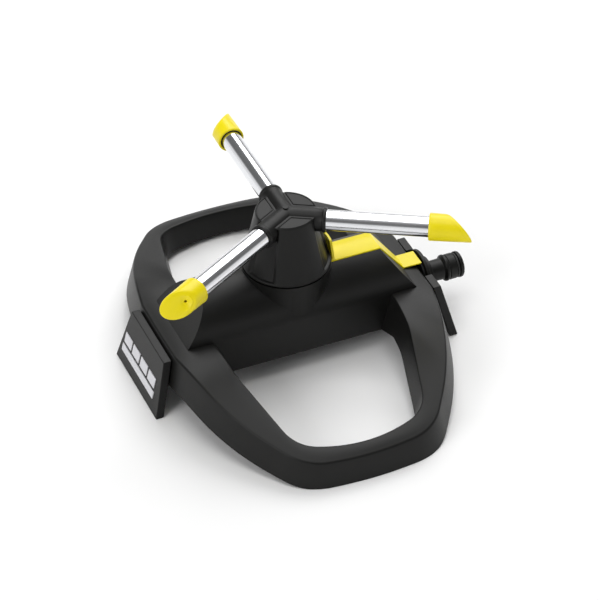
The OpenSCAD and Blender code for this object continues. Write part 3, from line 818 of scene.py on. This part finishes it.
class BuildHub(bpy.types.Operator):
    """Build the conical hub with its three raised panels and thin sector rims"""

    bl_idname = "sprinkler.build_hub"
    bl_label = "Rotor Hub"

    def execute(self, context):
        rotor = settings()[2]
        bottom, top = mm(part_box("hub_shell")[0].z), mm(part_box("hub_shell")[1].z)
        low_r, top_r = mm(rotor.hub_low_r), mm(rotor.hub_top_r)
        turns = 360

        def panel(angle):
            """0 in the recess under an arm and 1 on a raised panel."""
            near = min(abs((angle - a + 180) % 360 - 180) for a in ARMS.values())
            t = min(1.0, max(0.0, (near - 18.5) / 8.0))
            return 1 - (1 - t) ** 2.4

        rows = []

        def row(z, radius):
            rows.append([(radius(a) * math.cos(math.radians(a)), radius(a) * math.sin(math.radians(a)), z)
                         for a in (360 * i / turns for i in range(turns))])

        def face(z, angle):
            s = (z - bottom) / (top - bottom)
            raised = low_r + (top_r - low_r) * s
            recess = low_r - 1.5 + (top_r - 3.4 - low_r + 1.5) * s
            return recess + (raised - recess) * panel(angle)

        row(bottom + 2.0, lambda a: low_r - 5.0)
        row(bottom, lambda a: low_r - 5.0)
        row(bottom, lambda a: low_r - 0.5)
        row(bottom + 0.15, lambda a: low_r - 0.15)
        row(bottom + 0.5, lambda a: low_r)
        row(bottom + 1.2, lambda a: low_r - 0.12)
        row(bottom + 1.6, lambda a: max(low_r - 0.35, face(bottom + 1.6, a)))
        row(bottom + 1.8, lambda a: max(low_r - 0.9, face(bottom + 1.8, a)))
        row(bottom + 1.9, lambda a: face(bottom + 1.9, a))
        for k in range(1, 24):
            z = bottom + 1.9 + (top - 1.3 - bottom - 1.9) * k / 24
            row(z, lambda a, z=z: face(z, a))
        row(top - 1.25, lambda a: face(top - 1.25, a))
        row(top - 1.2, lambda a: max(top_r - 0.3, face(top - 1.2, a)))
        row(top - 0.9, lambda a: max(top_r, face(top - 0.9, a)))
        row(top - 0.45, lambda a: top_r)
        row(top - 0.15, lambda a: top_r - 0.15)
        row(top, lambda a: top_r - 0.45)
        for r in (17.0, 14.0, 10.0, 5.0, 1.0):
            row(top, lambda a, r=r: r)
        points, faces = patch(rows)
        faces.append(tuple(range(turns)))
        faces.append(tuple(range(len(points) - turns, len(points))))
        shells = [(points, faces)]
        for arm in ARMS.values():
            shells.append(self.rim(arm + 60, top, top_r - 0.75))
        hub = build("rotor_hub", shells, sharp=50)
        settle(hub, "rotor", "hub_shell", finish_of("black"))
        return {"FINISHED"}

    def rim(self, direction, top, radius, beside=6.7, bead=0.42):
        """A thin raised rim round one sector of the hub's top."""
        reach = math.radians(60) - math.asin(beside / radius)
        path = []
        for k in range(25):
            t = reach * (2 * k / 24 - 1)
            path.append(Vector((radius * math.cos(t), radius * math.sin(t), 0)))
        tip = Vector((beside / math.sin(math.radians(60)), 0, 0))
        last, first = path[-1], path[0]
        path += [last.lerp(tip, k / 10) for k in range(1, 11)]
        path += [tip.lerp(first, k / 10) for k in range(1, 10)]
        turn = Matrix.Rotation(math.radians(direction), 3, "Z")
        rows = []
        for k, p in enumerate(path):
            along = (path[(k + 1) % len(path)] - path[k - 1]).normalized()
            side = Vector((-along.y, along.x, 0))
            rows.append([tuple(turn @ (p + side * bead * math.cos(math.tau * j / 8)
                                       + Vector((0, 0, bead * math.sin(math.tau * j / 8) + top))))
                         for j in range(8)])
        return patch(rows, along=True)


class BuildArms(bpy.types.Operator):
    """Build the three-way manifold, the spray tubes and the nozzle caps"""

    bl_idname = "sprinkler.build_arms"
    bl_label = "Arms and Nozzles"

    def execute(self, context):
        rotor = settings()[2]
        height, radius = mm(rotor.arm_z), mm(rotor.sleeve_r)
        finish, bore = mm(rotor.sleeve_end), mm(rotor.tube_r) + 0.02
        turns = 96
        shells = []
        for arm in ARMS.values():
            rows = []
            circle = [math.tau * i / turns for i in range(turns)]
            profile = [(None, radius)]
            profile += [(22.3 * k / 6, radius) for k in (2, 3, 4, 5, 6)]
            profile += [(22.55, radius + 0.1), (22.8, radius + 0.38), (23.1, radius + 0.5),
                        (24.3, radius + 0.5), (24.7, radius + 0.36), (finish, radius), (finish, bore + 0.15),
                        (finish - 0.2, bore), (finish - 8, bore)]
            for x, r in profile:
                row = []
                for t in circle:
                    y, z = r * math.sin(t), r * math.cos(t)
                    along = abs(y) * math.tan(math.radians(30)) if x is None else x
                    row.append(Vector((along, y, z + height)))
                rows.append(row)
            turn = Matrix.Rotation(math.radians(arm), 3, "Z")
            shells.append(patch([[tuple(turn @ p) for p in row] for row in rows]))
        manifold = build("arm_manifold_body", shells, bevel=0.3, steps=2, sharp=32)
        settle(manifold, "rotor", "arm_manifold", finish_of("black"))
        start = mm(rotor.cap_start)
        for name, arm in ARMS.items():
            tube_r = mm(rotor.tube_r)
            profile = [(tube_r - 1, 12.3), (tube_r - 0.8, 12.0), (tube_r - 0.2, 12.0), (tube_r, 12.3)]
            profile += [(tube_r, 12.3 + (start + 8.9 - 12.3) * k / 12) for k in range(1, 13)]
            profile += [(tube_r - 0.2, start + 9.2), (tube_r - 0.8, start + 9.2), (tube_r - 1, start + 8.9)]
            shell = moved(lathe(profile, turns=96), facing(height, arm))
            tube = build(f"spray_tube_{name}", [shell], sharp=60)
            settle(tube, "rotor", f"tube_{name}", finish_of(f"tube_{name}"))
            place = (Matrix.Rotation(math.radians(arm), 4, "Z")
                     @ Matrix.Translation((start, 0, height)))
            cap = build(f"nozzle_cap_{name}_shell", [moved(cap_shell(rotor), place)], sharp=50)
            settle(cap, f"nozzle_{name}", f"nozzle_cap_{name}", finish_of("yellow"))
        return {"FINISHED"}


class FinishSmallParts(bpy.types.Operator):
    """Give the frame nodes that stay visible their own finishes"""

    bl_idname = "sprinkler.finish_small_parts"
    bl_label = "Small Parts"

    kept = {
        "black": ("underside_cover", "feed_pipe", "feed_elbow", "centre_plug"),
        "steel": ("cover_screws", "plate_screws", "spindle", "retaining_clip"),
        "rubber": ("elbow_seal", "inlet_gasket", "nipple_oring", "spindle_seal",
                   "cap_oring_a", "cap_oring_b", "cap_oring_c"),
        "acetal": ("thrust_washer", "rotor_bush"),
        "ink": ("badge",),
    }
    slots = {"black": "black_plastic", "steel": "steel", "rubber": "seal_rubber",
             "acetal": "bearing_plastic", "ink": "white_mark"}

    def execute(self, context):
        for name, nodes in self.kept.items():
            for node in nodes:
                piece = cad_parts[node]
                piece.data.materials.clear()
                piece.data.materials.append(finish_of(name))
        return {"FINISHED"}


class BuildStage(bpy.types.Operator):
    """Build the pale floor, the soft lights and the camera"""

    bl_idname = "sprinkler.build_stage"
    bl_label = "Stage"

    def execute(self, context):
        scene = context.scene
        finish = settings()[3]
        half = 2.2
        mesh = bpy.data.meshes.new("studio_floor")
        mesh.from_pydata([(-half, -half, 0), (half, -half, 0), (half, half, 0), (-half, half, 0)], [],
                         [(0, 1, 2, 3)])
        floor = bpy.data.objects.new("studio_floor", mesh)
        floor.location.z = -0.0002
        scene.collection.objects.link(floor)
        made, tree, shader = material("Studio paper, pale matt")
        place = add(tree, "ShaderNodeTexCoord").outputs["Object"]
        fibre = add(tree, "ShaderNodeTexNoise", {"Scale": per_metre(30.0), "Detail": 2.0},
                    {"Vector": place})
        base = list(finish.floor)
        tree.links.new(tinted(tree, fibre.outputs["Fac"], shade(base, 0.995), base),
                       shader.inputs["Base Color"])
        shader.inputs["Roughness"].default_value = 0.9
        mesh.materials.append(made)
        self.lights(scene)
        self.camera(scene)
        scene.view_settings.view_transform = "Standard"
        return {"FINISHED"}

    def lights(self, scene):
        """A pale room with one large light overhead, one behind and one at the left."""
        world = bpy.data.worlds.new("Studio room")
        world.use_nodes = True
        tree = world.node_tree
        tree.nodes.clear()
        # The room is white round its horizon, dim at middle heights and brighter overhead.
        place = add(tree, "ShaderNodeTexCoord").outputs["Generated"]
        height = add(tree, "ShaderNodeSeparateXYZ", links={"Vector": place})
        skirting = add(tree, "ShaderNodeMapRange", {"From Min": 0.14, "From Max": 0.34, "To Min": 0.9,
                                                    "To Max": 0.16}, {"Value": height.outputs["Z"]})
        ceiling = add(tree, "ShaderNodeMapRange", {"From Min": 0.7, "From Max": 0.95, "To Min": 0.0,
                                                   "To Max": 0.5}, {"Value": height.outputs["Z"]})
        dim = add(tree, "ShaderNodeMath", links={0: skirting.outputs["Result"],
                                                 1: ceiling.outputs["Result"]}, operation="ADD")
        background = add(tree, "ShaderNodeBackground", {"Color": linear("#FFFFFF")},
                         {"Strength": dim.outputs["Value"]})
        add(tree, "ShaderNodeOutputWorld", links={"Surface": background.outputs["Background"]})
        scene.world = world
        target = Vector((0, 0, 0.06))
        panels = (
            ("Key light", (1.46, 1.74, 2.52), (3.0, 2.4), 84.0),
            ("Overhead light", (-0.2, 0.0, 3.8), (2.4, 2.4), 36.0),
            ("Left light", (-3.0, -1.2, 1.8), (1.8, 1.8), 48.0),
        )
        for name, place, sides, power in panels:
            data = bpy.data.lights.new(name, "AREA")
            data.shape = "RECTANGLE"
            data.size, data.size_y = sides
            data.energy = power
            lamp = bpy.data.objects.new(name, data)
            lamp.location = place
            lamp.rotation_mode = "QUATERNION"
            lamp.rotation_quaternion = (target - Vector(place)).to_track_quat("-Z", "Y")
            scene.collection.objects.link(lamp)

    def camera(self, scene):
        """Camera at azimuth -22.9, elevation 38.9, 1.87 m from the rotor, with a long lens."""
        azimuth, elevation, roll = (math.radians(v) for v in (-22.93, 38.945, -0.547))
        distance, focal = 1.86583, 3035.9 / 600
        back = Vector((math.sin(azimuth) * math.cos(elevation),
                       -math.cos(azimuth) * math.cos(elevation), math.sin(elevation)))
        right = Vector((0, 0, 1)).cross(back).normalized()
        up = back.cross(right)
        right, up = (right * math.cos(roll) + up * math.sin(roll),
                     up * math.cos(roll) - right * math.sin(roll))
        data = bpy.data.cameras.new("Camera")
        data.sensor_width = 36.0
        data.lens = focal * 36.0
        data.clip_start, data.clip_end = 0.05, 50.0
        camera = bpy.data.objects.new("Camera", data)
        target = Vector((ROTOR_X * MM, 0, 0.06))
        camera.location = target + back * distance + right * 0.008245 - up * 0.019225
        camera.rotation_mode = "QUATERNION"
        camera.rotation_quaternion = Matrix((right, up, back)).transposed().to_quaternion()
        scene.collection.objects.link(camera)
        scene.camera = camera


class SprinklerPanel(bpy.types.Panel):
    """Sidebar list of the sprinkler's build steps"""

    bl_idname = "VIEW3D_PT_sprinkler"
    bl_label = "Rotating Sprinkler"
    bl_space_type = "VIEW_3D"
    bl_region_type = "UI"
    bl_category = "Sprinkler"

    def draw(self, context):
        for operator in OPERATORS:
            self.layout.operator(operator.bl_idname)
        for name in GROUPS:
            group = getattr(context.scene, name)
            box = self.layout.box()
            for prop in group.bl_rna.properties:
                if prop.identifier not in ("rna_type", "name"):
                    box.prop(group, prop.identifier)


GROUPS = {"sprinkler_base": BaseSizes, "sprinkler_housing": HousingSizes,
          "sprinkler_rotor": RotorSizes, "sprinkler_finish": Finish}
OPERATORS = (BuildRing, BuildHousing, BuildPlates, BuildTrim, BuildInlet, BuildHub, BuildArms,
             FinishSmallParts, BuildStage)


def register():
    for name, group in GROUPS.items():
        bpy.utils.register_class(group)
        setattr(bpy.types.Scene, name, PointerProperty(type=group))
    for cls in OPERATORS + (SprinklerPanel,):
        bpy.utils.register_class(cls)


def unregister():
    for cls in reversed(OPERATORS + (SprinklerPanel,)):
        bpy.utils.unregister_class(cls)
    for name, group in GROUPS.items():
        delattr(bpy.types.Scene, name)
        bpy.utils.unregister_class(group)


def main():
    register()
    bpy.ops.sprinkler.build_ring()
    bpy.ops.sprinkler.build_housing()
    bpy.ops.sprinkler.build_plates()
    bpy.ops.sprinkler.build_trim()
    bpy.ops.sprinkler.build_inlet()
    bpy.ops.sprinkler.build_hub()
    bpy.ops.sprinkler.build_arms()
    bpy.ops.sprinkler.finish_small_parts()
    bpy.ops.sprinkler.build_stage()


if __name__ == "__main__":
    main()
